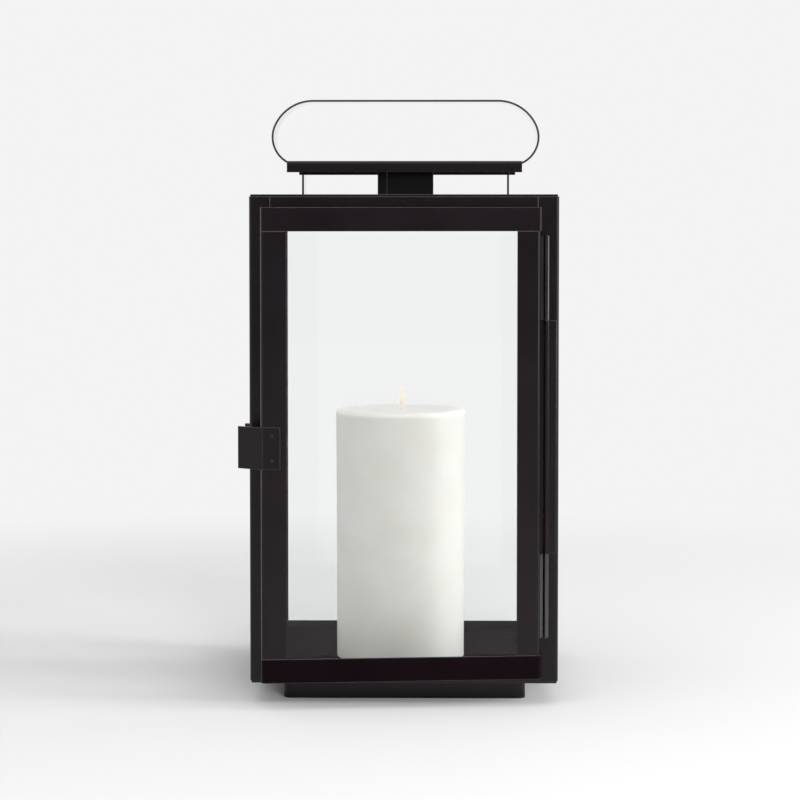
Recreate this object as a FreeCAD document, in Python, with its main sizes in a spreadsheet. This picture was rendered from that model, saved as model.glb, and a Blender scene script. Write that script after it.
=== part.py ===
import FreeCAD, Part
import math
import os
import Sketcher
from types import SimpleNamespace

# Candle lantern of folded, painted steel sheet: a glazed box on a recessed plinth, with a
# hinged glazed door at the front, a vent chimney under a folded cap, and a strap handle.
# The frame has +X to the right, +Y to the back and +Z up, and the front faces -Y.
# The origin is the centre of the plinth's underside. Lengths are in millimetres.

DRIVING_SIZES = {
    # Plinth and the two closing plates
    "plinth_side": 140.0,
    "plinth_height": 12.0,
    "plinth_round": 5.0,
    "plinth_wall": 1.2,
    "plate_gauge": 1.2,
    "plate_inset": 0.8,
    # Box frame of angle posts and rails
    "body_side": 176.0,
    "frame_height": 276.6,
    "frame_gauge": 1.2,
    "post_width": 12.0,
    "post_round": 2.5,
    "bottom_rail_height": 7.0,
    "top_rail_height": 14.0,
    "rail_flange": 8.0,
    # Fixed glass, its corner beads and the floor
    "glass_gauge": 2.0,
    "glass_clearance": 0.2,
    "pane_corner_gap": 0.6,
    "bead_leg": 5.0,
    "bead_gauge": 1.0,
    "floor_gauge": 1.2,
    # Chimney and cap
    "chimney_side": 33.0,
    "chimney_gauge": 1.2,
    "chimney_height": 18.0,
    "lap_gauge": 0.8,
    "lap_setback": 5.5,
    "vent_width": 20.0,
    "vent_height": 9.0,
    "vent_sill": 4.0,
    "cap_side": 135.0,
    "cap_gauge": 1.2,
    "cap_flange": 6.5,
    "cap_round": 2.0,
    # Strap handle
    "strap_width": 36.0,
    "strap_gauge": 1.2,
    "strap_gap": 0.15,
    "leg_spread": 121.5,
    "leg_bend": 1.2,
    "lower_curl": 16.8,
    "grip_rise": 55.5,
    "corner_reach": 24.0,
    "side_curl": 17.0,
    "foot_length": 14.0,
    "slot_clearance": 0.3,
    "rivet_radius": 1.6,
    "rivet_head_radius": 2.8,
    "rivet_head_height": 0.9,
    "rivet_pitch": 18.0,
    "rivet_clearance": 0.05,
    # Door leaf, in its closed place, and how far it stands open
    "door_width": 159.0,
    "door_sill": 4.0,
    "door_head": 6.1,
    "door_depth": 7.0,
    "door_gap": 0.6,
    "door_gauge": 1.0,
    "door_rail": 13.5,
    "door_stile": 14.4,
    "door_round": 2.5,
    "ajar_angle": 6.0,
    "clip_inset": 53.4,
    "clip_reach": 5.0,
    "clip_height": 10.0,
    "clip_gauge": 0.8,
    "clip_depth": 3.0,
    # Hinge
    "hinge_offset": 7.2,
    "barrel_radius": 1.6,
    "barrel_gap": 0.4,
    "pin_radius": 0.8,
    "pin_clearance": 0.05,
    "pin_overhang": 0.6,
    "hinge_edge_gap": 3.0,
    "hinge_rise": 23.1,
    "hinge_drop": 16.3,
    "end_knuckle": 47.4,
    "knuckle_gap": 0.3,
    "frame_leaf_width": 5.7,
    "door_leaf_gauge": 0.8,
    "door_leaf_setback": 1.0,
    "door_leaf_depth": 5.4,
    # Latch plate on the door and its keeper on the left post
    "latch_height": 23.8,
    "latch_drop": 1.2,
    "latch_leg": 9.5,
    "latch_edge": 1.2,
    "latch_wing": 17.6,
    "latch_angle": 42.0,
    "latch_gauge": 1.0,
    "latch_rivet_pitch": 14.0,
    "latch_rivet_radius": 0.6,
    "latch_rivet_head": 0.8,
    "latch_rivet_dome": 0.25,
    "keeper_height": 20.0,
    "keeper_reach": 3.0,
    "keeper_length": 6.0,
    "keeper_slope": 1.5,
    "keeper_setback": 5.5,
    "keeper_lift": 1.5,
    # Candle
    "candle_foot_radius": 38.0,
    "candle_top_radius": 38.6,
    "candle_height": 148.0,
    "candle_shift": -3.0,
    "candle_forward": 12.0,
    "pool_radius": 30.0,
    "pool_depth": 3.0,
    "wick_radius": 0.9,
    "wick_length": 15.0,
    "wick_clearance": 0.05,
    "wick_socket": 6.0,
}


class Size:
    """A driving size, or an arithmetic of sizes, with its number and its sheet formula."""

    def __init__(self, number, text=None):
        self.number = float(number)
        self.text = text or repr(float(number))

    def join(self, sign, other, number):
        return Size(number, f"({self.text} {sign} {other.text})")

    def __add__(self, other):
        other = as_size(other)
        return self.join("+", other, self.number + other.number)

    def __sub__(self, other):
        other = as_size(other)
        return self.join("-", other, self.number - other.number)

    def __mul__(self, other):
        other = as_size(other)
        return self.join("*", other, self.number * other.number)

    def __truediv__(self, other):
        other = as_size(other)
        return self.join("/", other, self.number / other.number)

    def __rsub__(self, other):
        return as_size(other) - self

    def __neg__(self):
        return Size(0) - self

    __radd__ = __add__
    __rmul__ = __mul__


def as_size(value):
    """Give a plain number the same form as a driving size."""
    return value if isinstance(value, Size) else Size(value)


def cosine(angle):
    """The cosine of a size in degrees."""
    return Size(math.cos(math.radians(angle.number)), f"cos({angle.text} * 1 deg)")


def sine(angle):
    """The sine of a size in degrees."""
    return Size(math.sin(math.radians(angle.number)), f"sin({angle.text} * 1 deg)")


doc = FreeCAD.newDocument("candle_lantern")
sheet = doc.addObject("Spreadsheet::Sheet", "Sizes")
named = {}
for row, (name, number) in enumerate(DRIVING_SIZES.items(), start=1):
    sheet.set(f"A{row}", name)
    sheet.set(f"B{row}", str(number))
    sheet.setAlias(f"B{row}", name)
    named[name] = Size(number, f"Sizes.{name}")
doc.recompute()
size = SimpleNamespace(**named)

sub_parts = []


def vector(x, y, z):
    """A point or direction from sizes or plain numbers."""
    return FreeCAD.Vector(as_size(x).number, as_size(y).number, as_size(z).number)


def bind(item, setting, length):
    """Tie one setting of an object to a formula of the sheet."""
    item.setExpression(setting, as_size(length).text)


def place(item, x=0, y=0, z=0, angle=0):
    """Put an object at a point and turn it about the vertical through that point."""
    for axis, length in zip("xyz", (x, y, z)):
        bind(item, f"Placement.Base.{axis}", length)
    bind(item, "Placement.Rotation.Angle", angle)


def keep(item, label):
    """Count an object as one sub-part under its own name."""
    item.Label = label
    sub_parts.append(item)
    return item


def new_body(label):
    """A body for one sub-part."""
    return keep(doc.addObject("PartDesign::Body", label), label)


def new_sketch(body, role, offset=0):
    """A sketch on one of the body's own origin planes, moved along that plane's normal."""
    sketch = body.newObject("Sketcher::SketchObject", "Outline")
    planes = [item for item in body.Origin.OriginFeatures if item.Role == role]
    sketch.AttachmentSupport = (planes[0], [""])
    sketch.MapMode = "FlatFace"
    bind(sketch, "AttachmentOffset.Base.z", offset)
    return sketch


def pin_point(sketch, curve, point, x, y):
    """Hold one point of a sketch at formulas measured from the sketch's origin."""
    for kind, length in (("DistanceX", x), ("DistanceY", y)):
        length = as_size(length)
        held = Sketcher.Constraint(kind, -1, 1, curve, point, length.number)
        index = sketch.addConstraint(held)
        sketch.setExpression(f"Constraints[{index}]", length.text)


def draw_polygon(sketch, points):
    """A closed outline of straight edges through points given as formulas."""
    first = sketch.GeometryCount
    corners = [vector(x, y, 0) for x, y in points]
    count = len(corners)
    for index in range(count):
        edge = Part.LineSegment(corners[index], corners[(index + 1) % count])
        sketch.addGeometry(edge, False)
    for index in range(count):
        following = first + (index + 1) % count
        sketch.addConstraint(Sketcher.Constraint("Coincident", first + index, 2, following, 1))
    for index, (x, y) in enumerate(points):
        pin_point(sketch, first + index, 1, x, y)


def draw_rectangle(sketch, low_x, low_y, high_x, high_y):
    """A closed rectangle between two corners."""
    draw_polygon(sketch, [(low_x, low_y), (high_x, low_y), (high_x, high_y), (low_x, high_y)])


def draw_circle(sketch, x, y, radius):
    """A full circle at a point."""
    curve = sketch.addGeometry(Part.Circle(vector(x, y, 0), FreeCAD.Vector(0, 0, 1), radius.number), False)
    pin_point(sketch, curve, 3, x, y)
    index = sketch.addConstraint(Sketcher.Constraint("Radius", curve, radius.number))
    sketch.setExpression(f"Constraints[{index}]", radius.text)


def pad(body, sketch, length, both_ways=False):
    """Raise a sketch into a solid along its normal, or half each way."""
    feature = body.newObject("PartDesign::Pad", "Pad")
    feature.Profile = sketch
    feature.SideType = "Symmetric" if both_ways else "One side"
    bind(feature, "Length", length)
    doc.recompute()
    return feature


def round_edges(body, feature, radius, wanted):
    """Round the straight edges of a feature that the test picks out."""
    names = []
    for index, edge in enumerate(feature.Shape.Edges, start=1):
        if len(edge.Vertexes) == 2 and wanted(edge):
            names.append(f"Edge{index}")
    fillet = body.newObject("PartDesign::Fillet", "Round")
    fillet.Base = (feature, names)
    bind(fillet, "Radius", radius)
    doc.recompute()
    return fillet


def upright_at(x, y):
    """A test for the vertical edge that stands at one point of the plan."""
    spot = vector(x, y, 0)

    def wanted(edge):
        ends = [FreeCAD.Vector(corner.X, corner.Y, 0) for corner in edge.Vertexes]
        return all(end.distanceToPoint(spot) < 0.001 for end in ends)

    return wanted


def profile_at(y, z):
    """A test for the edge along X that passes one point of the end view."""
    spot = vector(0, y, z)

    def wanted(edge):
        ends = [FreeCAD.Vector(0, corner.Y, corner.Z) for corner in edge.Vertexes]
        return all(end.distanceToPoint(spot) < 0.001 for end in ends)

    return wanted


# Levels and half widths that several pieces share
half_body = size.body_side / 2
half_plate = half_body - size.plate_inset
frame_low = size.plinth_height + size.plate_gauge
frame_high = frame_low + size.frame_height
body_top = frame_high + size.plate_gauge
rail_end = half_body - size.post_width
glass_outer = half_body - size.frame_gauge - size.glass_clearance
glass_inner = glass_outer - size.glass_gauge
bead_outer = glass_inner - size.glass_clearance
floor_top = frame_low + size.frame_gauge + size.floor_gauge
cap_under = body_top + size.chimney_height
cap_top = cap_under + size.cap_gauge


def build_plinth():
    """Recessed foot: a shallow pan with rounded corners, closed underneath."""
    half = size.plinth_side / 2
    body = new_body("base_pan")
    sketch = new_sketch(body, "XY_Plane")
    draw_rectangle(sketch, -half, -half, half, half)
    block = pad(body, sketch, size.plinth_height)

    def corner(edge):
        low, high = edge.Vertexes
        return abs(low.Z - high.Z) > 0.001

    rounded = round_edges(body, block, size.plinth_round, corner)
    shell = body.newObject("PartDesign::Thickness", "Shell")
    tops = [index for index, face in enumerate(rounded.Shape.Faces, start=1)
            if face.BoundBox.ZMin > size.plinth_height.number - 0.001]
    shell.Base = (rounded, [f"Face{index}" for index in tops])
    shell.Reversed = True
    bind(shell, "Value", size.plinth_wall)
    doc.recompute()
    if shell.Shape.BoundBox.XLength > size.plinth_side.number + 0.001:
        raise RuntimeError("the plinth's wall grew outwards")


def build_bottom_plate():
    """Flat sheet that closes the box below and carries the frame."""
    plate = keep(doc.addObject("Part::Box", "bottom_plate"), "bottom_plate")
    bind(plate, "Length", 2 * half_plate)
    bind(plate, "Width", 2 * half_plate)
    bind(plate, "Height", size.plate_gauge)
    place(plate, -half_plate, -half_plate, size.plinth_height)


def build_posts():
    """Four corner posts of folded angle, rounded along the outer corner."""
    outer = -half_body
    inner = outer + size.frame_gauge
    tip = outer + size.post_width
    corners = ("front_left", "front_right", "rear_right", "rear_left")
    for quarter, corner in enumerate(corners):
        body = new_body(f"post_{corner}")
        sketch = new_sketch(body, "XY_Plane", frame_low)
        draw_polygon(sketch, [(outer, outer), (tip, outer), (tip, inner),
                              (inner, inner), (inner, tip), (outer, tip)])
        angle_bar = pad(body, sketch, size.frame_height)
        outside = round_edges(body, angle_bar, size.post_round, upright_at(outer, outer))
        inside_round = size.post_round - size.frame_gauge
        round_edges(body, outside, inside_round, upright_at(inner, inner))
        place(body, angle=90 * quarter)


def build_rails():
    """Eight angle rails butted between the posts, with the flange turned inwards."""
    outer = -half_body
    inner = outer + size.frame_gauge
    lip = outer + size.rail_flange
    levels = (
        ("bottom", frame_low, size.frame_gauge, size.bottom_rail_height),
        ("top", frame_high, -size.frame_gauge, -size.top_rail_height),
    )
    for level, seat, gauge, reach in levels:
        for quarter, side in enumerate(("front", "right", "rear", "left")):
            body = new_body(f"{level}_rail_{side}")
            sketch = new_sketch(body, "YZ_Plane")
            draw_polygon(sketch, [(outer, seat), (lip, seat), (lip, seat + gauge),
                                  (inner, seat + gauge), (inner, seat + reach), (outer, seat + reach)])
            pad(body, sketch, 2 * rail_end, both_ways=True)
            place(body, angle=90 * quarter)


def build_floor():
    """Loose floor sheet that lies on the bottom rails' flanges and carries the candle."""
    plate = keep(doc.addObject("Part::Box", "floor_plate"), "floor_plate")
    bind(plate, "Length", 2 * bead_outer)
    bind(plate, "Width", 2 * bead_outer)
    bind(plate, "Height", size.floor_gauge)
    place(plate, -bead_outer, -bead_outer, floor_top - size.floor_gauge)


def build_fixed_glass():
    """Three fixed panes inside the posts, standing on the bottom rails' flanges."""
    half = glass_inner - size.pane_corner_gap
    low = frame_low + size.frame_gauge
    height = frame_high - size.frame_gauge - size.glass_clearance - low
    for quarter, side in enumerate(("right", "rear", "left"), start=1):
        body = new_body(f"{side}_pane")
        sketch = new_sketch(body, "XY_Plane", low)
        draw_rectangle(sketch, -half, -glass_outer, half, -glass_inner)
        pad(body, sketch, height)
        place(body, angle=90 * quarter)


def build_beads():
    """Four small angle beads in the corners, from floor to top plate, that hold the panes."""
    outer = -bead_outer
    inner = outer + size.bead_gauge
    tip = outer + size.bead_leg
    for quarter, corner in enumerate(("front_left", "front_right", "rear_right", "rear_left")):
        body = new_body(f"glass_bead_{corner}")
        sketch = new_sketch(body, "XY_Plane", floor_top)
        draw_polygon(sketch, [(outer, outer), (tip, outer), (tip, inner),
                              (inner, inner), (inner, tip), (outer, tip)])
        pad(body, sketch, frame_high - floor_top)
        place(body, angle=90 * quarter)


# Places of the handle's legs and rivets, which the top plate and the cap are cut for
leg_x = size.leg_spread / 2
rivet_x = leg_x - size.foot_length / 2 - size.leg_bend / 2
rivet_y = size.rivet_pitch / 2
slot_y = size.strap_width / 2 + size.slot_clearance


def build_top_plate():
    """Top sheet with the flue hole, two slots for the handle's legs and its rivet holes."""
    flue = size.chimney_side / 2 - size.chimney_gauge
    slot_inner = leg_x - size.leg_bend - size.slot_clearance
    slot_outer = leg_x + size.strap_gauge / 2 + size.slot_clearance
    body = new_body("top_plate")
    sketch = new_sketch(body, "XY_Plane", frame_high)
    draw_rectangle(sketch, -half_plate, -half_plate, half_plate, half_plate)
    draw_rectangle(sketch, -flue, -flue, flue, flue)
    for side in (-1, 1):
        draw_rectangle(sketch, side * slot_inner, -slot_y, side * slot_outer, slot_y)
        for end in (-1, 1):
            draw_circle(sketch, side * rivet_x, end * rivet_y, size.rivet_radius)
    pad(body, sketch, size.plate_gauge)


def build_chimney():
    """Square sheet tube with a lapped seam at the front left and a vent in each side."""
    half = size.chimney_side / 2
    flue = half - size.chimney_gauge
    body = new_body("chimney")
    sketch = new_sketch(body, "XY_Plane", body_top)
    draw_rectangle(sketch, -half, -half, half, half)
    draw_rectangle(sketch, -flue, -flue, flue, flue)
    pad(body, sketch, size.chimney_height)
    lap = new_sketch(body, "XY_Plane", body_top)
    draw_rectangle(lap, size.lap_setback - half, -half - size.lap_gauge, half, -half)
    tube = pad(body, lap, size.chimney_height)
    window = new_sketch(body, "YZ_Plane")
    sill = body_top + size.vent_sill
    draw_rectangle(window, -size.vent_width / 2, sill, size.vent_width / 2, sill + size.vent_height)
    cut = body.newObject("PartDesign::Pocket", "Vents")
    cut.Profile = window
    cut.SideType = "Symmetric"
    bind(cut, "Length", 2 * size.chimney_side)
    doc.recompute()
    wall_cut = 2 * size.chimney_gauge * size.vent_width * size.vent_height
    if abs(tube.Shape.Volume - cut.Shape.Volume - wall_cut.number) > 0.01:
        raise RuntimeError("the vents did not cut both walls")


def build_cap():
    """Folded cap on the chimney: flanged at front and back, and notched at its open ends for the strap."""
    half = size.cap_side / 2
    wall = half - size.cap_gauge
    hem = cap_top - size.cap_flange
    body = new_body("vent_cap")
    sketch = new_sketch(body, "YZ_Plane")
    draw_polygon(sketch, [(-half, cap_top), (half, cap_top), (half, hem), (wall, hem), (wall, cap_under),
                          (-wall, cap_under), (-wall, hem), (-half, hem)])
    channel = pad(body, sketch, size.cap_side, both_ways=True)
    tests = [profile_at(end * half, cap_top) for end in (-1, 1)]
    outside = round_edges(body, channel, size.cap_round, lambda edge: any(test(edge) for test in tests))
    inner_tests = [profile_at(end * wall, cap_under) for end in (-1, 1)]
    inside_round = size.cap_round - size.cap_gauge
    round_edges(body, outside, inside_round, lambda edge: any(test(edge) for test in inner_tests))
    notches = new_sketch(body, "XY_Plane", cap_top)
    for side in (-1, 1):
        draw_rectangle(notches, side * (leg_x + size.leg_bend), -slot_y,
                       side * (half + size.slot_clearance), slot_y)
    cut = body.newObject("PartDesign::Pocket", "Notches")
    cut.Profile = notches
    cut.SideType = "Symmetric"
    bind(cut, "Length", 2 * size.cap_flange)
    doc.recompute()


def arc(centre_x, centre_z, radius, start, end):
    """A circular arc in the front view, from one angle to another, in degrees from +X."""
    points = []
    for angle in (start, (start + end) / 2, end):
        turn = math.radians(angle)
        x = centre_x + radius * math.cos(turn)
        z = centre_z + radius * math.sin(turn)
        points.append(FreeCAD.Vector(x, 0, z))
    return Part.Arc(*points).toShape()


def line(start_x, start_z, end_x, end_z):
    """A straight run in the front view."""
    return Part.makeLine(FreeCAD.Vector(start_x, 0, start_z), FreeCAD.Vector(end_x, 0, end_z))


def build_handle():
    """Strap bent from one strip: feet under the top plate, legs, curls under the cap, and the grip."""
    half_gauge = size.strap_gauge.number / 2
    bend = size.leg_bend.number
    leg = leg_x.number
    foot_z = frame_high.number - half_gauge
    curl = size.lower_curl.number
    curl_z = cap_under.number - size.strap_gap.number - half_gauge
    side_z = curl_z + curl
    side_x = leg + bend + curl
    grip_z = body_top.number + size.grip_rise.number
    rise = grip_z - side_z
    reach = size.corner_reach.number
    small = size.side_curl.number
    # The top arc is the one that meets both the side arc and the straight grip smoothly
    large = ((reach - small) ** 2 + rise ** 2 - small ** 2) / (2 * (rise - small))
    top_x = side_x - reach
    top_centre = grip_z - large
    joint_angle = math.degrees(math.atan2(side_z - top_centre, side_x - small - top_x))
    right_half = [
        line(leg - size.foot_length.number, foot_z, leg - bend, foot_z),
        arc(leg - bend, foot_z + bend, bend, -90, 0),
        line(leg, foot_z + bend, leg, curl_z - bend),
        arc(leg + bend, curl_z - bend, bend, 180, 90),
        arc(leg + bend, side_z, curl, -90, 0),
        arc(side_x - small, side_z, small, 0, joint_angle),
        arc(top_x, top_centre, large, joint_angle, 90),
        line(top_x, grip_z, 0, grip_z),
    ]
    middle = FreeCAD.Vector(0, 0, 0)
    across = FreeCAD.Vector(1, 0, 0)
    left_half = [edge.mirror(middle, across) for edge in reversed(right_half)]
    path = Part.Wire(right_half + left_half)
    half_width = size.strap_width.number / 2
    first_x = leg - size.foot_length.number
    section = Part.makePolygon([
        FreeCAD.Vector(first_x, -half_width, foot_z - half_gauge),
        FreeCAD.Vector(first_x, half_width, foot_z - half_gauge),
        FreeCAD.Vector(first_x, half_width, foot_z + half_gauge),
        FreeCAD.Vector(first_x, -half_width, foot_z + half_gauge),
        FreeCAD.Vector(first_x, -half_width, foot_z - half_gauge),
    ])
    strap = path.makePipeShell([section], True, False)
    expected = path.Length * size.strap_gauge.number * size.strap_width.number
    if abs(strap.Volume - expected) > 0.001 * expected:
        raise RuntimeError("the strap's bends are not a clean sweep")
    for side in (-1, 1):
        for end in (-1, 1):
            start = FreeCAD.Vector(side * rivet_x.number, end * rivet_y.number, foot_z - bend)
            strap = strap.cut(Part.makeCylinder(size.rivet_radius.number, 2 * bend, start))
    item = keep(doc.addObject("Part::Feature", "handle_strap"), "handle_strap")
    item.Shape = strap.Solids[0]
    place(item)


def build_handle_rivets():
    """Four flush rivets that hold the handle's feet up against the top plate."""
    under = frame_high - size.strap_gauge
    solids = []
    for side in (-1, 1):
        for end in (-1, 1):
            name = f"handle_rivet_{'left' if side < 0 else 'right'}_{'front' if end < 0 else 'rear'}"
            head = doc.addObject("Part::Cylinder", f"{name}_head")
            bind(head, "Radius", size.rivet_head_radius)
            bind(head, "Height", size.rivet_head_height)
            place(head, side * rivet_x, end * rivet_y, under - size.rivet_head_height)
            shank = doc.addObject("Part::Cylinder", f"{name}_shank")
            bind(shank, "Radius", size.rivet_radius - size.rivet_clearance)
            bind(shank, "Height", body_top - under)
            place(shank, side * rivet_x, end * rivet_y, under)
            rivet = doc.addObject("Part::Fuse", name)
            rivet.Base = head
            rivet.Tool = shank
            solids.append(rivet)
    group = keep(doc.addObject("Part::Compound", "handle_rivets"), "handle_rivets")
    group.Links = solids


# Hinge line, and the door's edges measured from it with the door closed
hinge_x = half_body - size.hinge_offset
hinge_y = -half_body - size.barrel_radius - size.barrel_gap
door_low = frame_low - size.plate_gauge + size.door_sill
door_high = frame_high - size.door_head
door_height = door_high - door_low
hinge_low = door_low + size.hinge_rise
middle_low = hinge_low + size.end_knuckle
hinge_high = door_high - size.hinge_drop
middle_high = hinge_high - size.end_knuckle
door_right = -size.hinge_edge_gap
door_left = door_right - size.door_width
door_back = size.barrel_radius + size.barrel_gap - size.door_gap
door_front = door_back - size.door_depth
stile_right = door_right - size.door_leaf_setback
latch_fold = door_left + size.latch_edge
latch_rivet_x = latch_fold + size.latch_leg / 2
latch_middle = door_low + door_height / 2 - size.latch_drop


def hang(item):
    """Put a piece drawn about the hinge line in place, with the door standing ajar."""
    place(item, hinge_x, hinge_y, angle=size.ajar_angle)


def knuckle(label, low, high, hole, plates):
    """A rolled knuckle on the hinge line with flat plates folded from it, as one solid."""
    body = new_body(label)
    barrel = new_sketch(body, "XY_Plane", low)
    draw_circle(barrel, 0, 0, size.barrel_radius)
    pad(body, barrel, high - low)
    for corners in plates:
        leaf = new_sketch(body, "XY_Plane", low)
        draw_rectangle(leaf, *corners)
        solid = pad(body, leaf, high - low)
    bore = new_sketch(body, "XY_Plane", low)
    draw_circle(bore, 0, 0, hole)
    cut = body.newObject("PartDesign::Pocket", "Bore")
    cut.Profile = bore
    cut.Reversed = True
    bind(cut, "Length", high - low)
    doc.recompute()
    if cut.Shape.Volume >= solid.Shape.Volume:
        raise RuntimeError(f"the bore of {label} cut nothing")
    return body


def build_hinge():
    """Three-knuckle hinge: the post carries the long middle knuckle, the door the two short ones."""
    post_face = size.barrel_radius + size.barrel_gap
    frame_leaf = (0, size.pin_radius, size.frame_leaf_width, post_face)
    body = knuckle("hinge_leaf_frame", middle_low + size.knuckle_gap, middle_high - size.knuckle_gap,
                   size.pin_radius, [frame_leaf])
    place(body, hinge_x, hinge_y)
    web_front = size.barrel_radius - size.door_leaf_gauge
    web = (stile_right, web_front, 0, size.barrel_radius)
    side = (stile_right, size.barrel_radius - size.door_leaf_depth,
            stile_right + size.door_leaf_gauge, size.barrel_radius)
    running = size.pin_radius + size.pin_clearance
    hang(knuckle("hinge_leaf_door_lower", hinge_low, middle_low, running, [web, side]))
    hang(knuckle("hinge_leaf_door_upper", middle_high, hinge_high, running, [web, side]))
    pin = keep(doc.addObject("Part::Cylinder", "hinge_pin"), "hinge_pin")
    bind(pin, "Radius", size.pin_radius)
    bind(pin, "Height", hinge_high - hinge_low + 2 * size.pin_overhang)
    place(pin, hinge_x, hinge_y, hinge_low - size.pin_overhang)


def build_door_rails():
    """Top and bottom door rails, folded at the front, at both ends and along the outer edge."""
    skin = door_front + size.door_gauge
    for level in ("top", "bottom"):
        low = door_high - size.door_rail if level == "top" else door_low
        edge_low = door_high - size.door_gauge if level == "top" else door_low
        body = new_body(f"door_rail_{level}")
        face = new_sketch(body, "XY_Plane", low)
        draw_polygon(face, [
            (door_left, door_front), (door_right, door_front), (door_right, door_back),
            (door_right - size.door_gauge, door_back), (door_right - size.door_gauge, skin),
            (door_left + size.door_gauge, skin), (door_left + size.door_gauge, door_back),
            (door_left, door_back)])
        pad(body, face, size.door_rail)
        edge = new_sketch(body, "XY_Plane", edge_low)
        draw_rectangle(edge, door_left, door_front, door_right, door_back)
        folded = pad(body, edge, size.door_gauge)
        left_corner = upright_at(door_left, door_front)
        right_corner = upright_at(door_right, door_front)
        round_edges(body, folded, size.door_round, lambda item: left_corner(item) or right_corner(item))
        hang(body)


def cut_latch_holes(body, solid):
    """Drill the two latch rivet holes through a piece, front to back."""
    holes = new_sketch(body, "XZ_Plane", -door_front)
    for end in (-1, 1):
        draw_circle(holes, latch_rivet_x, latch_middle + end * size.latch_rivet_pitch / 2,
                    size.latch_rivet_radius)
    cut = body.newObject("PartDesign::Pocket", "RivetHoles")
    cut.Profile = holes
    cut.SideType = "Symmetric"
    bind(cut, "Length", 2 * size.door_depth)
    doc.recompute()
    if cut.Shape.Volume >= solid.Shape.Volume:
        raise RuntimeError("the latch holes cut nothing")


def build_door_stiles():
    """Left and right door stiles, folded angles butted between the rails."""
    low = door_low + size.door_rail
    skin = door_front + size.door_gauge
    right_wall = stile_right - size.door_gauge
    left_wall = door_left + size.door_gauge
    left_face = door_left + size.door_stile
    right_face = door_right - size.door_stile
    outlines = {
        "left": (door_left, [
            (door_left, door_front), (left_face, door_front), (left_face, skin),
            (left_wall, skin), (left_wall, door_back), (door_left, door_back)]),
        "right": (stile_right, [
            (stile_right, door_front), (stile_right, door_back), (right_wall, door_back),
            (right_wall, skin), (right_face, skin), (right_face, door_front)]),
    }
    for side, (edge_x, outline) in outlines.items():
        body = new_body(f"door_stile_{side}")
        sketch = new_sketch(body, "XY_Plane", low)
        draw_polygon(sketch, outline)
        folded = pad(body, sketch, door_height - 2 * size.door_rail)
        rounded = round_edges(body, folded, size.door_round, upright_at(edge_x, door_front))
        if side == "left":
            cut_latch_holes(body, rounded)
        hang(body)


def build_door_glass():
    """Door pane behind the rails and stiles, and six clips on the stiles that hold it."""
    face = door_front + size.door_gauge + size.glass_clearance
    left = door_left + size.door_gauge + size.glass_clearance
    right = stile_right - size.door_gauge - size.glass_clearance
    low = door_low + size.door_gauge + size.glass_clearance
    body = new_body("door_pane")
    sketch = new_sketch(body, "XY_Plane", low)
    draw_rectangle(sketch, left, face, right, face + size.glass_gauge)
    pad(body, sketch, door_height - 2 * size.door_gauge - 2 * size.glass_clearance)
    hang(body)
    seat = (face + size.glass_gauge + size.glass_clearance).number
    gauge = size.clip_gauge.number
    height = size.clip_height.number
    reach = size.clip_reach.number
    clear = size.glass_clearance.number
    clips = []
    for wall, inward in ((left.number - clear, 1), (right.number + clear, -1)):
        for level in (door_low + size.clip_inset, latch_middle, door_high - size.clip_inset):
            base = level.number - height / 2
            tongue_x = wall if inward > 0 else wall - reach
            root_x = wall if inward > 0 else wall - gauge
            tongue = Part.makeBox(reach, gauge, height, FreeCAD.Vector(tongue_x, seat, base))
            root = Part.makeBox(gauge, size.clip_depth.number, height, FreeCAD.Vector(root_x, seat, base))
            clips.append(tongue.fuse(root).removeSplitter())
    group = keep(doc.addObject("Part::Feature", "door_glass_clips"), "door_glass_clips")
    group.Shape = Part.makeCompound(clips)
    hang(group)


def build_latch():
    """Latch plate on the left stile, with a wing folded back round the door's edge."""
    cos_fold = cosine(size.latch_angle)
    sin_fold = sine(size.latch_angle)
    gauge = size.latch_gauge
    leg_end = latch_fold + size.latch_leg
    mitre = gauge * (1 - cos_fold) / sin_fold
    tip_x = latch_fold - size.latch_wing * cos_fold
    tip_y = door_front + size.latch_wing * sin_fold
    body = new_body("latch_plate")
    sketch = new_sketch(body, "XY_Plane", latch_middle - size.latch_height / 2)
    draw_polygon(sketch, [
        (leg_end, door_front), (latch_fold, door_front), (tip_x, tip_y),
        (tip_x - gauge * sin_fold, tip_y - gauge * cos_fold),
        (latch_fold - mitre, door_front - gauge), (leg_end, door_front - gauge)])
    cut_latch_holes(body, pad(body, sketch, size.latch_height))
    hang(body)


def build_latch_rivets():
    """Two small rivets through the latch plate and the stile."""
    back = (door_front + size.door_gauge).number
    face = (door_front - size.latch_gauge).number
    rivets = []
    for end in (-1, 1):
        level = (latch_middle + end * size.latch_rivet_pitch / 2).number
        shank_radius = (size.latch_rivet_radius - size.rivet_clearance).number
        forward = FreeCAD.Vector(0, -1, 0)
        shank = Part.makeCylinder(shank_radius, back - face,
                                  FreeCAD.Vector(latch_rivet_x.number, back, level), forward)
        head = Part.makeCylinder(size.latch_rivet_head.number, size.latch_rivet_dome.number,
                                 FreeCAD.Vector(latch_rivet_x.number, face, level), forward)
        rivets.append(shank.fuse(head).removeSplitter())
    group = keep(doc.addObject("Part::Feature", "latch_rivets"), "latch_rivets")
    group.Shape = Part.makeCompound(rivets)
    hang(group)


def build_keeper():
    """Keeper block on the left post's side, which the latch wing closes up to."""
    front = -half_body + size.keeper_setback
    back = front + size.keeper_length
    outer = -half_body - size.keeper_reach
    body = new_body("latch_keeper")
    sketch = new_sketch(body, "XY_Plane", latch_middle + size.keeper_lift - size.keeper_height / 2)
    draw_polygon(sketch, [(-half_body, front), (-half_body, back),
                          (outer, back - size.keeper_slope), (outer, front + size.keeper_slope)])
    pad(body, sketch, size.keeper_height)


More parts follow.
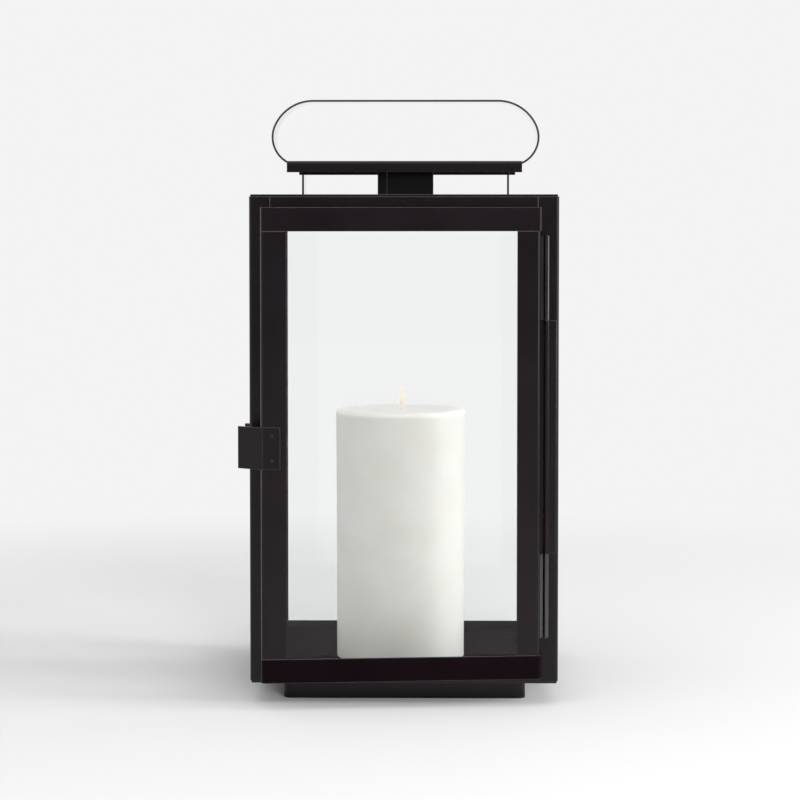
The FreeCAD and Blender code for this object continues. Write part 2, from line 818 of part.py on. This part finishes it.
def build_candle():
    """Pillar candle with a shallow melted pool, and its wick set in a socket."""
    rim = size.candle_height
    pool = rim - size.pool_depth
    socket_radius = size.wick_radius + size.wick_clearance
    socket = pool - size.wick_socket
    body = new_body("candle_wax")
    sketch = new_sketch(body, "XZ_Plane")
    draw_polygon(sketch, [
        (0, 0), (size.candle_foot_radius, 0), (size.candle_top_radius, rim),
        (size.pool_radius, rim), (size.pool_radius - size.pool_depth, pool),
        (socket_radius, pool), (socket_radius, socket), (0, socket)])
    turned = body.newObject("PartDesign::Revolution", "Turned")
    turned.Profile = sketch
    turned.ReferenceAxis = (sketch, ["V_Axis"])
    turned.Angle = 360
    place(body, size.candle_shift, -size.candle_forward, floor_top)
    wick = keep(doc.addObject("Part::Cylinder", "candle_wick"), "candle_wick")
    bind(wick, "Radius", size.wick_radius)
    bind(wick, "Height", size.wick_length)
    place(wick, size.candle_shift, -size.candle_forward, floor_top + socket)


for build in (build_plinth, build_bottom_plate, build_posts, build_rails, build_floor, build_fixed_glass,
              build_beads, build_top_plate, build_chimney, build_cap, build_handle, build_handle_rivets,
              build_hinge, build_door_rails, build_door_stiles, build_door_glass, build_latch,
              build_latch_rivets, build_keeper, build_candle):
    build()
doc.recompute()

for item in doc.Objects:
    if "Invalid" in item.State or "Error" in item.State:
        raise RuntimeError(f"{item.Label} failed: {item.State}")
for item in sub_parts:
    if item.Shape.isNull() or not item.Shape.isValid():
        raise RuntimeError(f"{item.Label} has no valid shape")

os.makedirs("parts", exist_ok=True)
for item in sub_parts:
    item.Shape.exportStep(os.path.join("parts", f"{item.Label}.step"))
print(len(sub_parts), "sub-parts written")
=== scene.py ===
"""Looks of the candle lantern: painted steel, glass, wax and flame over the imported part."""

import math

import bpy
import numpy as np
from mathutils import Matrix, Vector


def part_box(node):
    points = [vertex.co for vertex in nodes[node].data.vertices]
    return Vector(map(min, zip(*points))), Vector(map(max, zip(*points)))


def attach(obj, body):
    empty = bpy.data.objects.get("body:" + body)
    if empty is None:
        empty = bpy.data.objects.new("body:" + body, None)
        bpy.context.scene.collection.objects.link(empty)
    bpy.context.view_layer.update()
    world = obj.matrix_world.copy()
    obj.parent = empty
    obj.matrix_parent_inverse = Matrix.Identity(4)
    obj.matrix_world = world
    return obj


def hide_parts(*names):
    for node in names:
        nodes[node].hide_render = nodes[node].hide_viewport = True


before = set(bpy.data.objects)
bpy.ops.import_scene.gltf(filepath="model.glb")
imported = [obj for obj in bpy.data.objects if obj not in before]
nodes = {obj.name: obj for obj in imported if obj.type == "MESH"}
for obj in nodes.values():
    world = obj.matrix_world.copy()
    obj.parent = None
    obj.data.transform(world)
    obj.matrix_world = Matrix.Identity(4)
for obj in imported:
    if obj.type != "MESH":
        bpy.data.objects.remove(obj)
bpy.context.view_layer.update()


# Steel frame, plates, plinth, roof, door leaf and latch.
# All of it is thin folded sheet in one coat of satin black paint, which is faintly
# orange-peeled, a little uneven in gloss and catches the light on its rounded folds.
paint_dark = (0.0046, 0.0016, 0.0032, 1.0)
paint_pale = (0.0080, 0.0036, 0.0060, 1.0)
paint_gloss = (0.16, 0.26)
paint_shine = 0.22
paint_edge_shine = 1.0
paint_edge_turn = 0.92
paint_peel_scale = 650.0
paint_peel_depth = 0.00003
paint_peel_strength = 0.12
paint_cloud_scale = 22.0
paint_cloud_detail = 4.0
paint_fold_radius = 0.0006
paint_fold_samples = 6
noise_middle = (0.3, 0.7)


def new_material(name):
    """An empty material with its node tree, its shader and its output."""
    material = bpy.data.materials.new(name)
    material.use_nodes = True
    tree = material.node_tree
    return material, tree, tree.nodes["Principled BSDF"], tree.nodes["Material Output"]


def add(tree, kind, **settings):
    """A node of that kind, with its properties or its input sockets set by name."""
    node = tree.nodes.new(kind)
    for name, value in settings.items():
        if hasattr(node, name):
            setattr(node, name, value)
        else:
            node.inputs[name.replace("_", " ")].default_value = value
    return node


def noise(tree, place, scale, detail=2.0):
    """Noise over the object's own coordinates, as a value between 0 and 1."""
    node = add(tree, "ShaderNodeTexNoise", Scale=scale, Detail=detail)
    tree.links.new(place.outputs["Object"], node.inputs["Vector"])
    return node.outputs["Fac"]


def spread(tree, value, low, high):
    """The value of a noise, which stays near its middle, stretched over a range."""
    node = add(tree, "ShaderNodeMapRange")
    node.inputs["From Min"].default_value = noise_middle[0]
    node.inputs["From Max"].default_value = noise_middle[1]
    node.inputs["To Min"].default_value = low
    node.inputs["To Max"].default_value = high
    tree.links.new(value, node.inputs["Value"])
    return node.outputs["Result"]


def shade(tree, value, low, high):
    """A colour between two others, chosen by a value."""
    node = add(tree, "ShaderNodeMix", data_type="RGBA")
    node.inputs[6].default_value = low
    node.inputs[7].default_value = high
    tree.links.new(value, node.inputs[0])
    return node.outputs[2]


def make_paint(name, gloss, shine, fold_radius):
    """Black paint, with cloudy gloss, a fine peel, and softened folds that shine more."""
    material, tree, shader, _ = new_material(name)
    place = add(tree, "ShaderNodeTexCoord")
    cloud = noise(tree, place, paint_cloud_scale, paint_cloud_detail)
    colour = shade(tree, spread(tree, cloud, 0.0, 1.0), paint_dark, paint_pale)
    tree.links.new(colour, shader.inputs["Base Color"])
    tree.links.new(spread(tree, cloud, *gloss), shader.inputs["Roughness"])
    fold = add(tree, "ShaderNodeBevel", samples=paint_fold_samples, Radius=fold_radius)
    peel = add(tree, "ShaderNodeBump", Strength=paint_peel_strength, Distance=paint_peel_depth)
    tree.links.new(noise(tree, place, paint_peel_scale), peel.inputs["Height"])
    tree.links.new(fold.outputs["Normal"], peel.inputs["Normal"])
    tree.links.new(peel.outputs["Normal"], shader.inputs["Normal"])
    surface = add(tree, "ShaderNodeNewGeometry")
    along = add(tree, "ShaderNodeVectorMath", operation="DOT_PRODUCT")
    tree.links.new(surface.outputs["Normal"], along.inputs[0])
    tree.links.new(fold.outputs["Normal"], along.inputs[1])
    edge = add(tree, "ShaderNodeMapRange")
    edge.inputs["From Min"].default_value = 1.0
    edge.inputs["From Max"].default_value = paint_edge_turn
    edge.inputs["To Min"].default_value = shine
    edge.inputs["To Max"].default_value = max(shine, paint_edge_shine)
    tree.links.new(along.outputs["Value"], edge.inputs["Value"])
    tree.links.new(edge.outputs["Result"], shader.inputs["Specular IOR Level"])
    return material


def coat(names, material):
    """Give CAD nodes one material."""
    for name in names:
        mesh = nodes[name].data
        mesh.materials.clear()
        mesh.materials.append(material)


paint = make_paint("satin_black_paint", paint_gloss, paint_shine, paint_fold_radius)
coat([name for name in nodes if not name.startswith("candle")], paint)


# Bottom rail of the door.
# The same paint, but duller, because this is the rail that the photograph shows deepest black
# and without the pale floor's reflection.
low_rail_gloss = (0.30, 0.40)
low_rail_shine = 0.03
low_rail_paint = make_paint("dull_black_rail", low_rail_gloss, low_rail_shine, paint_fold_radius)
coat(["door_rail_bottom"], low_rail_paint)


# The door's two hinge leaves and the pin.
# Rolled knuckles of darkened, lacquered steel rather than paint: they shine grey along
# their edges, with fine lines drawn along the barrel.
hinge_dark = (0.012, 0.011, 0.012, 1.0)
hinge_pale = (0.040, 0.037, 0.040, 1.0)
hinge_gloss = (0.22, 0.34)
hinge_names = ["hinge_leaf_door_lower", "hinge_leaf_door_upper", "hinge_pin"]
hinge_line_scale = (1800.0, 1800.0, 30.0)
hinge_line_detail = 3.0
hinge_lacquer = 0.08
hinge_lacquer_bending = 1.6


def make_steel(name):
    """Darkened steel, brushed along its height, under a clear lacquer."""
    material, tree, shader, _ = new_material(name)
    place = add(tree, "ShaderNodeTexCoord")
    stretch = add(tree, "ShaderNodeVectorMath", operation="MULTIPLY")
    stretch.inputs[1].default_value = hinge_line_scale
    tree.links.new(place.outputs["Object"], stretch.inputs[0])
    lines = add(tree, "ShaderNodeTexNoise", Scale=1.0, Detail=hinge_line_detail)
    tree.links.new(stretch.outputs["Vector"], lines.inputs["Vector"])
    value = spread(tree, lines.outputs["Fac"], 0.0, 1.0)
    tree.links.new(shade(tree, value, hinge_dark, hinge_pale), shader.inputs["Base Color"])
    tree.links.new(spread(tree, lines.outputs["Fac"], *hinge_gloss), shader.inputs["Roughness"])
    shader.inputs["Metallic"].default_value = 1.0
    shader.inputs["Coat Weight"].default_value = 1.0
    shader.inputs["Coat Roughness"].default_value = hinge_lacquer
    shader.inputs["Coat IOR"].default_value = hinge_lacquer_bending
    return material


coat(hinge_names, make_steel("darkened_steel"))


# Handle strap.
# The same paint on rolled strip is smooth, so its underside, seen almost edge-on, mirrors
# the pale room and only its thin edge reads as a black line.
strap_gloss = (0.03, 0.06)
strap_shine = 0.5
strap_fold_radius = 0.0002
strap_lacquer = 0.03
strap_paint = make_paint("smooth_black_strap", strap_gloss, strap_shine, strap_fold_radius)
lacquer = strap_paint.node_tree.nodes["Principled BSDF"].inputs
lacquer["Coat Weight"].default_value = 1.0
lacquer["Coat Roughness"].default_value = strap_lacquer
coat(["handle_strap"], strap_paint)


# Floor plate inside the cabin.
# The loose sheet under the candle has the same black, with almost no mirror in it, so that
# it stays dark when it is seen at a flat angle through the door.
plate_gloss = (0.10, 0.16)
plate_shine = 0.00003
plate_paint = make_paint("gloss_black_floor", plate_gloss, plate_shine, paint_fold_radius)
coat(["floor_plate"], plate_paint)


# Three fixed panes and the door pane.
# Clear float glass, 2 mm thick, with the faintest smears that show only in a reflection.
glass_names = ["right_pane", "rear_pane", "left_pane", "door_pane"]
glass_colour = (0.985, 0.995, 0.990, 1.0)
glass_bending = 1.25
glass_smear = (0.0, 0.03)
glass_smear_scale = 30.0
glass_smear_detail = 5.0


def make_glass(name):
    """Clear glass with smears in its gloss, which lets light through to what is behind."""
    material, tree, shader, output = new_material(name)
    shader.inputs["Base Color"].default_value = glass_colour
    shader.inputs["Transmission Weight"].default_value = 1.0
    shader.inputs["IOR"].default_value = glass_bending
    place = add(tree, "ShaderNodeTexCoord")
    smear = noise(tree, place, glass_smear_scale, glass_smear_detail)
    tree.links.new(spread(tree, smear, *glass_smear), shader.inputs["Roughness"])
    path = add(tree, "ShaderNodeLightPath")
    clear = add(tree, "ShaderNodeBsdfTransparent", Color=glass_colour)
    either = add(tree, "ShaderNodeMixShader")
    tree.links.new(path.outputs["Is Shadow Ray"], either.inputs[0])
    tree.links.new(shader.outputs["BSDF"], either.inputs[1])
    tree.links.new(clear.outputs["BSDF"], either.inputs[2])
    tree.links.new(either.outputs["Shader"], output.inputs["Surface"])
    return material


coat(glass_names, make_glass("clear_glass"))


# Pillar candle: wax body.
# A white pillar with a soft rounded rim, a shallow melted dish round the wick, a
# slightly lumpy wall and a small round at the foot.
wax_low, wax_high = (np.array(corner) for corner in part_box("candle_wax"))
wax_centre = (wax_low + wax_high) / 2
wax_top_radius = (wax_high[0] - wax_low[0]) / 2
wax_taper = 0.0006
wax_foot_radius = wax_top_radius - wax_taper
wax_rim_round = 0.0022
wax_foot_round = 0.0004
wax_dish_depth = 0.0010
wax_dish_slope = 0.45
wax_pole_radius = 0.0003
wax_wall_ripple = 0.00025
wax_ripple_fade = 4
wax_waves = ((3, 40.0, 0.0), (5, -25.0, 1.0))
wax_mottle_scale = 45.0
wax_mottle_detail = 5.0
wax_scatter = 0.6
wax_scatter_colour = (1.0, 0.75, 0.5)
wax_scatter_depth = 0.006
wax_gloss = 0.42
wax_skin_scale = 160.0
wax_skin_detail = 4.0
wax_skin_strength = 0.25
wax_skin_depth = 0.0002
# Strength and depth of the painted glow that the top of the wax emits.
wax_painted_glow = 0.30
wax_painted_glow_depth = 0.004
wax_pale = (0.90, 0.89, 0.86, 1.0)
wax_warm = (0.85, 0.83, 0.78, 1.0)


def make_surface(name, grid, material, body):
    """A mesh from a grid of points, closed round its second direction and at both ends."""
    rows, columns, _ = grid.shape
    points = grid.reshape(-1, 3)
    row, column = np.meshgrid(np.arange(rows - 1), np.arange(columns), indexing="ij")
    after = (column + 1) % columns
    faces = np.stack([row * columns + column, row * columns + after,
                      (row + 1) * columns + after, (row + 1) * columns + column], axis=-1)
    faces = [tuple(face) for face in faces.reshape(-1, 4).tolist()]
    faces.append(tuple(range(columns - 1, -1, -1)))
    faces.append(tuple(range((rows - 1) * columns, rows * columns)))
    mesh = bpy.data.meshes.new(name)
    mesh.from_pydata(points.tolist(), [], faces)
    mesh.polygons.foreach_set("use_smooth", [True] * len(faces))
    mesh.materials.append(material)
    mesh.update()
    piece = bpy.data.objects.new(name, mesh)
    bpy.context.scene.collection.objects.link(piece)
    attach(piece, body)
    return piece


def wax_grid(columns=160, round_rows=9, wall_rows=40, dish_rows=60):
    """Points of the wax: a profile of radius and height turned round the candle's axis.

    The profile goes from the middle of the foot along a rounded edge, up the wall, over a
    quarter-round rim and down a smooth dish to the wick. The radius also shrinks a little with
    the angle and the height, by the mean of two slow waves that fade out towards the axis.
    """
    low, high = wax_low[2], wax_high[2]
    turn = np.linspace(0, math.pi / 2, round_rows)
    foot = np.stack([wax_foot_radius - wax_foot_round + wax_foot_round * np.sin(turn),
                     low + wax_foot_round * (1 - np.cos(turn))], axis=-1)
    wall_share = np.linspace(0, 1, wall_rows)[1:-1]
    wall = np.stack([wax_foot_radius + (wax_top_radius - wax_foot_radius) * wall_share,
                     low + wax_foot_round + (high - wax_rim_round - low - wax_foot_round) * wall_share],
                    axis=-1)
    rim = np.stack([wax_top_radius - wax_rim_round + wax_rim_round * np.cos(turn),
                    high - wax_rim_round + wax_rim_round * np.sin(turn)], axis=-1)
    dish_start = wax_top_radius - wax_rim_round
    dish_radius = np.linspace(dish_start, wax_pole_radius, dish_rows)[1:]
    sink = np.clip((dish_start - dish_radius) / (dish_start * wax_dish_slope), 0, 1)
    dish = np.stack([dish_radius, high - wax_dish_depth * sink ** 2 * (3 - 2 * sink)], axis=-1)
    bottom = np.array([[wax_pole_radius, low]])
    profile = np.concatenate([bottom, foot, wall, rim, dish])
    angle = np.linspace(0, 2 * math.pi, columns, endpoint=False)
    radius, height = profile[:, :1], profile[:, 1:]
    waves = [np.sin(lobes * angle + climb * height + start) for lobes, climb, start in wax_waves]
    swell = sum(waves) / len(waves)
    share = np.clip(radius / wax_foot_radius, 0, 1) ** wax_ripple_fade
    reach = radius - wax_wall_ripple * share * (1 + swell) / 2
    x = wax_centre[0] + reach * np.cos(angle)
    y = wax_centre[1] + reach * np.sin(angle)
    return np.stack([x, y, height + 0 * x], axis=-1)


def make_wax(name):
    """Milky wax: light scatters under the skin, the colour mottles and the top has a faint painted glow.
    """
    material, tree, shader, _ = new_material(name)
    place = add(tree, "ShaderNodeTexCoord")
    mottle = spread(tree, noise(tree, place, wax_mottle_scale, wax_mottle_detail), 0.0, 1.0)
    tree.links.new(shade(tree, mottle, wax_pale, wax_warm), shader.inputs["Base Color"])
    shader.inputs["Subsurface Weight"].default_value = wax_scatter
    shader.inputs["Subsurface Radius"].default_value = wax_scatter_colour
    shader.inputs["Subsurface Scale"].default_value = wax_scatter_depth
    shader.inputs["Roughness"].default_value = wax_gloss
    skin = add(tree, "ShaderNodeBump", Strength=wax_skin_strength, Distance=wax_skin_depth)
    tree.links.new(noise(tree, place, wax_skin_scale, wax_skin_detail), skin.inputs["Height"])
    tree.links.new(skin.outputs["Normal"], shader.inputs["Normal"])
    split = add(tree, "ShaderNodeSeparateXYZ")
    tree.links.new(place.outputs["Object"], split.inputs[0])
    # Painted glow: the top few millimetres of the wax emit a faint light of their own, in the pale wax
    # colour.
    glow = add(tree, "ShaderNodeMapRange", interpolation_type="SMOOTHSTEP")
    glow.inputs["From Min"].default_value = wax_high[2] - wax_painted_glow_depth
    glow.inputs["From Max"].default_value = wax_high[2]
    glow.inputs["To Max"].default_value = wax_painted_glow
    tree.links.new(split.outputs["Z"], glow.inputs["Value"])
    tree.links.new(glow.outputs["Result"], shader.inputs["Emission Strength"])
    shader.inputs["Emission Color"].default_value = wax_pale
    return material


candle = make_surface("candle_body", wax_grid(), make_wax("white_wax"), "candle")
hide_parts("candle_wax")


# Pillar candle: wick.
# A braided cotton wick of three strands, soaked in pale wax, which stands up from the
# middle of the dish and leans a little at its warm tip.
wick_low, wick_high = (np.array(corner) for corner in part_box("candle_wick"))
wick_centre = (wick_low + wick_high) / 2
wick_radius = (wick_high[0] - wick_low[0]) / 2
wick_lean = 0.0006
wick_lean_start = 0.4
wick_strands = 3
wick_braid = 0.18
wick_twist = 30.0
wick_tip_start = 0.8
wick_tip_taper = 0.55
wick_tip_length = 0.003
wick_gloss = 0.85
wick_pale = (0.88, 0.86, 0.82, 1.0)
wick_warm = (0.88, 0.82, 0.74, 1.0)


def wick_grid(rows=90, columns=36):
    """Points of the wick: a tube up a slightly leaning line, fluted by its twisted strands.

    The radius falls and rises once for each strand round the tube, the flutes turn with the
    height, and the top end tapers to a blunt point.
    """
    share = np.linspace(0, 1, rows)[:, None]
    angle = np.linspace(0, 2 * math.pi, columns, endpoint=False)[None, :]
    flute = 1 - wick_braid * (0.5 + 0.5 * np.cos(wick_strands * angle - wick_twist * share))
    taper = 1 - wick_tip_taper * np.clip((share - wick_tip_start) / (1 - wick_tip_start), 0, 1) ** 2
    radius = (wick_radius - wick_lean) * flute * taper
    lean = wick_lean * np.clip((share - wick_lean_start) / (1 - wick_lean_start), 0, 1) ** 2
    x = wick_centre[0] + lean + radius * np.cos(angle)
    y = wick_centre[1] + radius * np.sin(angle)
    z = wick_low[2] + (wick_high[2] - wick_low[2]) * share + 0 * angle
    return np.stack([x, y, z], axis=-1)


def make_wick(name):
    """Cotton that goes from waxy cream at the dish to a pale tan at the tip."""
    material, tree, shader, _ = new_material(name)
    place = add(tree, "ShaderNodeTexCoord")
    split = add(tree, "ShaderNodeSeparateXYZ")
    tree.links.new(place.outputs["Object"], split.inputs[0])
    warmth = add(tree, "ShaderNodeMapRange")
    warmth.inputs["From Min"].default_value = wax_high[2] - wax_dish_depth
    warmth.inputs["From Max"].default_value = wick_high[2] - wick_tip_length
    tree.links.new(split.outputs["Z"], warmth.inputs["Value"])
    colour = shade(tree, warmth.outputs["Result"], wick_pale, wick_warm)
    tree.links.new(colour, shader.inputs["Base Color"])
    shader.inputs["Roughness"].default_value = wick_gloss
    return material


wick = make_surface("candle_wick_braid", wick_grid(), make_wick("scorched_cotton"), "candle")
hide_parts("candle_wick")


# Pillar candle: flame.
# A small pale peach tear of light over the wick's tip, soft at its edge. Three tears, one
# inside the other, let the light build up towards the middle.
flame_drop = 0.0075
flame_low = wick_high[2] - flame_drop
flame_height = 0.0165
flame_rise = 0.5
flame_lowering = 0.8
flame_bluntness = 0.7
flame_end = 0.0005
flame_radius = 0.0029
flame_shares = (1.0, 0.72, 0.44)
flame_veil = 0.30
flame_foot = (1.0, 0.80, 0.62, 1.0)
flame_tip = (1.0, 0.90, 0.78, 1.0)


def flame_grid(share_of_size, rows=48, columns=40):
    """Points of one tear, widest a little below the middle and drawn in to both ends.

    The radius is a power of the sine of half a turn, which is spread over the height by
    another power, so the tear is blunt at the foot and narrows to a soft tip.
    """
    share = np.linspace(flame_end, 1 - flame_end, rows)[:, None]
    angle = np.linspace(0, 2 * math.pi, columns, endpoint=False)[None, :]
    wave = np.sin(math.pi * share ** flame_lowering)
    radius = share_of_size * flame_radius * wave ** flame_bluntness
    x = wick_centre[0] + wick_lean + radius * np.cos(angle)
    y = wick_centre[1] + radius * np.sin(angle)
    z = flame_low + flame_height * (0.5 + share_of_size * (share - 0.5)) + 0 * angle
    return np.stack([x, y, z], axis=-1)


def make_flame(name):
    """A veil of light that is clear at the foot and pale above."""
    material, tree, shader, output = new_material(name)
    tree.nodes.remove(shader)
    place = add(tree, "ShaderNodeTexCoord")
    split = add(tree, "ShaderNodeSeparateXYZ")
    tree.links.new(place.outputs["Object"], split.inputs[0])
    rise = add(tree, "ShaderNodeMapRange")
    rise.inputs["From Min"].default_value = flame_low
    rise.inputs["From Max"].default_value = flame_low + flame_rise * flame_height
    tree.links.new(split.outputs["Z"], rise.inputs["Value"])
    glow = add(tree, "ShaderNodeEmission", Strength=1.0)
    tree.links.new(shade(tree, rise.outputs["Result"], flame_foot, flame_tip), glow.inputs["Color"])
    veil = add(tree, "ShaderNodeMath", operation="MULTIPLY")
    veil.inputs[1].default_value = flame_veil
    tree.links.new(rise.outputs["Result"], veil.inputs[0])
    clear = add(tree, "ShaderNodeBsdfTransparent")
    mix = add(tree, "ShaderNodeMixShader")
    tree.links.new(veil.outputs["Value"], mix.inputs[0])
    tree.links.new(clear.outputs["BSDF"], mix.inputs[1])
    tree.links.new(glow.outputs["Emission"], mix.inputs[2])
    tree.links.new(mix.outputs["Shader"], output.inputs["Surface"])
    return material


flame_material = make_flame("flame_light")
for flame_layer, flame_share in enumerate(flame_shares):
    make_surface(f"candle_flame_{flame_layer}", flame_grid(flame_share), flame_material, "candle")


# Floor, light and camera.
# A pale sweep under soft light from the right and above, in a room that is dim behind the
# camera to keep the front black. Two lamps light the sweep alone, so its shadow falls left.
sweep_colour = (0.58, 0.58, 0.58, 1.0)
sweep_dullness = 0.9
sweep_front = -4.0
sweep_rear = 1.6
sweep_half_width = 5.0
sweep_radius = 1.2
sweep_height = 4.0
shadow_reach = (0.38, 0.90)
backdrop_colour = (0.90, 0.90, 0.90, 1.0)
room_sides = (1.0, 1.0, 1.0, 1.0)
room_front_low = (0.15, 0.15, 0.15, 1.0)
room_front_high = (0.80, 0.80, 0.80, 1.0)
room_front_ramp = (-0.70, -0.15)
room_horizon_ramp = (-0.005, 0.03)
lantern_foot = (0.0, 0.0, 0.0)
key_power = 7.4
key_size = (0.8, 1.0)
key_place = (1.5, -0.45, 0.52)
key_target = (0.0, 0.0, 0.15)
top_power = 9.0
top_size = (1.6, 1.6)
top_place = (-0.2, -0.9, 2.2)
top_target = (0.0, 0.0, 0.1)
floor_right_power = 80.0
floor_right_size = (1.2, 1.2)
floor_right_place = (2.6, -0.7, 0.75)
floor_front_power = 85.0
floor_front_size = (1.2, 0.6)
floor_front_place = (0.8, -2.6, 0.5)
camera_place = (0.019, -1.570, 0.285)
camera_down = math.radians(2.89)
camera_left = math.radians(0.821)
camera_focal = 117.65
camera_sensor = 36.0
camera_shift = -0.0789


def seen_straight(tree, *more_rays):
    """1 for what the camera sees, straight, through glass or by other named rays, and else 0."""
    path = add(tree, "ShaderNodeLightPath")
    seen = path.outputs["Is Camera Ray"]
    for ray in ("Is Transmission Ray", *more_rays):
        either = add(tree, "ShaderNodeMath", operation="MAXIMUM")
        tree.links.new(seen, either.inputs[0])
        tree.links.new(path.outputs[ray], either.inputs[1])
        seen = either.outputs["Value"]
    return seen


def sweep_grid(rows=24):
    """Depth and height along the floor: flat, then a quarter-round up into a wall."""
    turn = np.linspace(0, math.pi / 2, rows)
    depth = np.concatenate([[sweep_front], sweep_rear + sweep_radius * np.sin(turn),
                            [sweep_rear + sweep_radius]])
    height = np.concatenate([[0], sweep_radius * (1 - np.cos(turn)), [sweep_height]])
    return depth, height


def make_floor():
    """The swept floor, which keeps the lantern's shadow and fades to the plain backdrop."""
    depth, height = sweep_grid()
    count = len(depth)
    points = [(side * sweep_half_width, y, z) for side in (-1, 1) for y, z in zip(depth, height)]
    faces = [(row, count + row, count + row + 1, row + 1) for row in range(count - 1)]
    mesh = bpy.data.meshes.new("studio_sweep")
    mesh.from_pydata(points, [], faces)
    mesh.polygons.foreach_set("use_smooth", [True] * len(faces))
    material, tree, shader, output = new_material("pale_sweep")
    shader.inputs["Base Color"].default_value = sweep_colour
    shader.inputs["Roughness"].default_value = sweep_dullness
    place = add(tree, "ShaderNodeTexCoord")
    away = add(tree, "ShaderNodeVectorMath", operation="LENGTH")
    tree.links.new(place.outputs["Object"], away.inputs[0])
    fade = add(tree, "ShaderNodeMapRange", interpolation_type="SMOOTHSTEP")
    fade.inputs["From Min"].default_value = shadow_reach[0]
    fade.inputs["From Max"].default_value = shadow_reach[1]
    tree.links.new(away.outputs["Value"], fade.inputs["Value"])
    plain = add(tree, "ShaderNodeEmission", Color=backdrop_colour)
    share = add(tree, "ShaderNodeMath", operation="MULTIPLY")
    tree.links.new(fade.outputs["Result"], share.inputs[0])
    tree.links.new(seen_straight(tree, "Is Glossy Ray"), share.inputs[1])
    mix = add(tree, "ShaderNodeMixShader")
    tree.links.new(share.outputs["Value"], mix.inputs[0])
    tree.links.new(shader.outputs["BSDF"], mix.inputs[1])
    tree.links.new(plain.outputs["Emission"], mix.inputs[2])
    tree.links.new(mix.outputs["Shader"], output.inputs["Surface"])
    mesh.materials.append(material)
    floor = bpy.data.objects.new("studio_sweep", mesh)
    bpy.context.scene.collection.objects.link(floor)
    return floor


def make_world():
    """Light that is bright at the sides and behind the lantern and dim behind the camera."""
    world = bpy.data.worlds.new("studio")
    bpy.context.scene.world = world
    world.use_nodes = True
    tree = world.node_tree
    light = tree.nodes["Background"]
    place = add(tree, "ShaderNodeTexCoord")
    split = add(tree, "ShaderNodeSeparateXYZ")
    tree.links.new(place.outputs["Generated"], split.inputs[0])
    toward = add(tree, "ShaderNodeMapRange")
    toward.inputs["From Min"].default_value = room_front_ramp[0]
    toward.inputs["From Max"].default_value = room_front_ramp[1]
    tree.links.new(split.outputs["Y"], toward.inputs["Value"])
    above = add(tree, "ShaderNodeMapRange")
    above.inputs["From Min"].default_value = room_horizon_ramp[0]
    above.inputs["From Max"].default_value = room_horizon_ramp[1]
    tree.links.new(split.outputs["Z"], above.inputs["Value"])
    front = shade(tree, above.outputs["Result"], room_front_low, room_front_high)
    around = add(tree, "ShaderNodeMix", data_type="RGBA")
    around.inputs[7].default_value = room_sides
    tree.links.new(toward.outputs["Result"], around.inputs[0])
    tree.links.new(front, around.inputs[6])
    tree.links.new(around.outputs[2], light.inputs["Color"])
    seen = add(tree, "ShaderNodeBackground", Color=backdrop_colour)
    mix = add(tree, "ShaderNodeMixShader")
    tree.links.new(seen_straight(tree), mix.inputs[0])
    tree.links.new(light.outputs["Background"], mix.inputs[1])
    tree.links.new(seen.outputs["Background"], mix.inputs[2])
    tree.links.new(mix.outputs["Shader"], tree.nodes["World Output"].inputs["Surface"])


def add_light(name, power, lamp_size, place, target, only=None):
    """A rectangular area light turned to face a point, which may light one object only."""
    lamp = bpy.data.lights.new(name, "AREA")
    lamp.energy = power
    lamp.shape = "RECTANGLE"
    lamp.size, lamp.size_y = lamp_size
    item = bpy.data.objects.new(name, lamp)
    bpy.context.scene.collection.objects.link(item)
    item.location = place
    away = np.array(target) - np.array(place)
    across = math.hypot(away[0], away[1])
    heading = math.atan2(away[1], away[0]) - math.pi / 2
    item.rotation_euler = (math.atan2(across, -away[2]), 0, heading)
    if only is not None:
        lit = bpy.data.collections.new(f"{name}_lit")
        lit.objects.link(only)
        item.light_linking.receiver_collection = lit


sweep = make_floor()
make_world()
add_light("key", key_power, key_size, key_place, key_target)
add_light("top", top_power, top_size, top_place, top_target)
add_light("floor_right", floor_right_power, floor_right_size, floor_right_place, lantern_foot, only=sweep)
add_light("floor_front", floor_front_power, floor_front_size, floor_front_place, lantern_foot, only=sweep)
view = bpy.data.cameras.new("view")
view.lens = camera_focal
view.sensor_width = camera_sensor
view.shift_y = camera_shift
camera = bpy.data.objects.new("view", view)
camera.location = camera_place
camera.rotation_mode = "XYZ"
camera.rotation_euler = (math.pi / 2 - camera_down, 0, camera_left)
bpy.context.scene.collection.objects.link(camera)
bpy.context.scene.camera = camera
bpy.context.scene.view_settings.view_transform = "Standard"
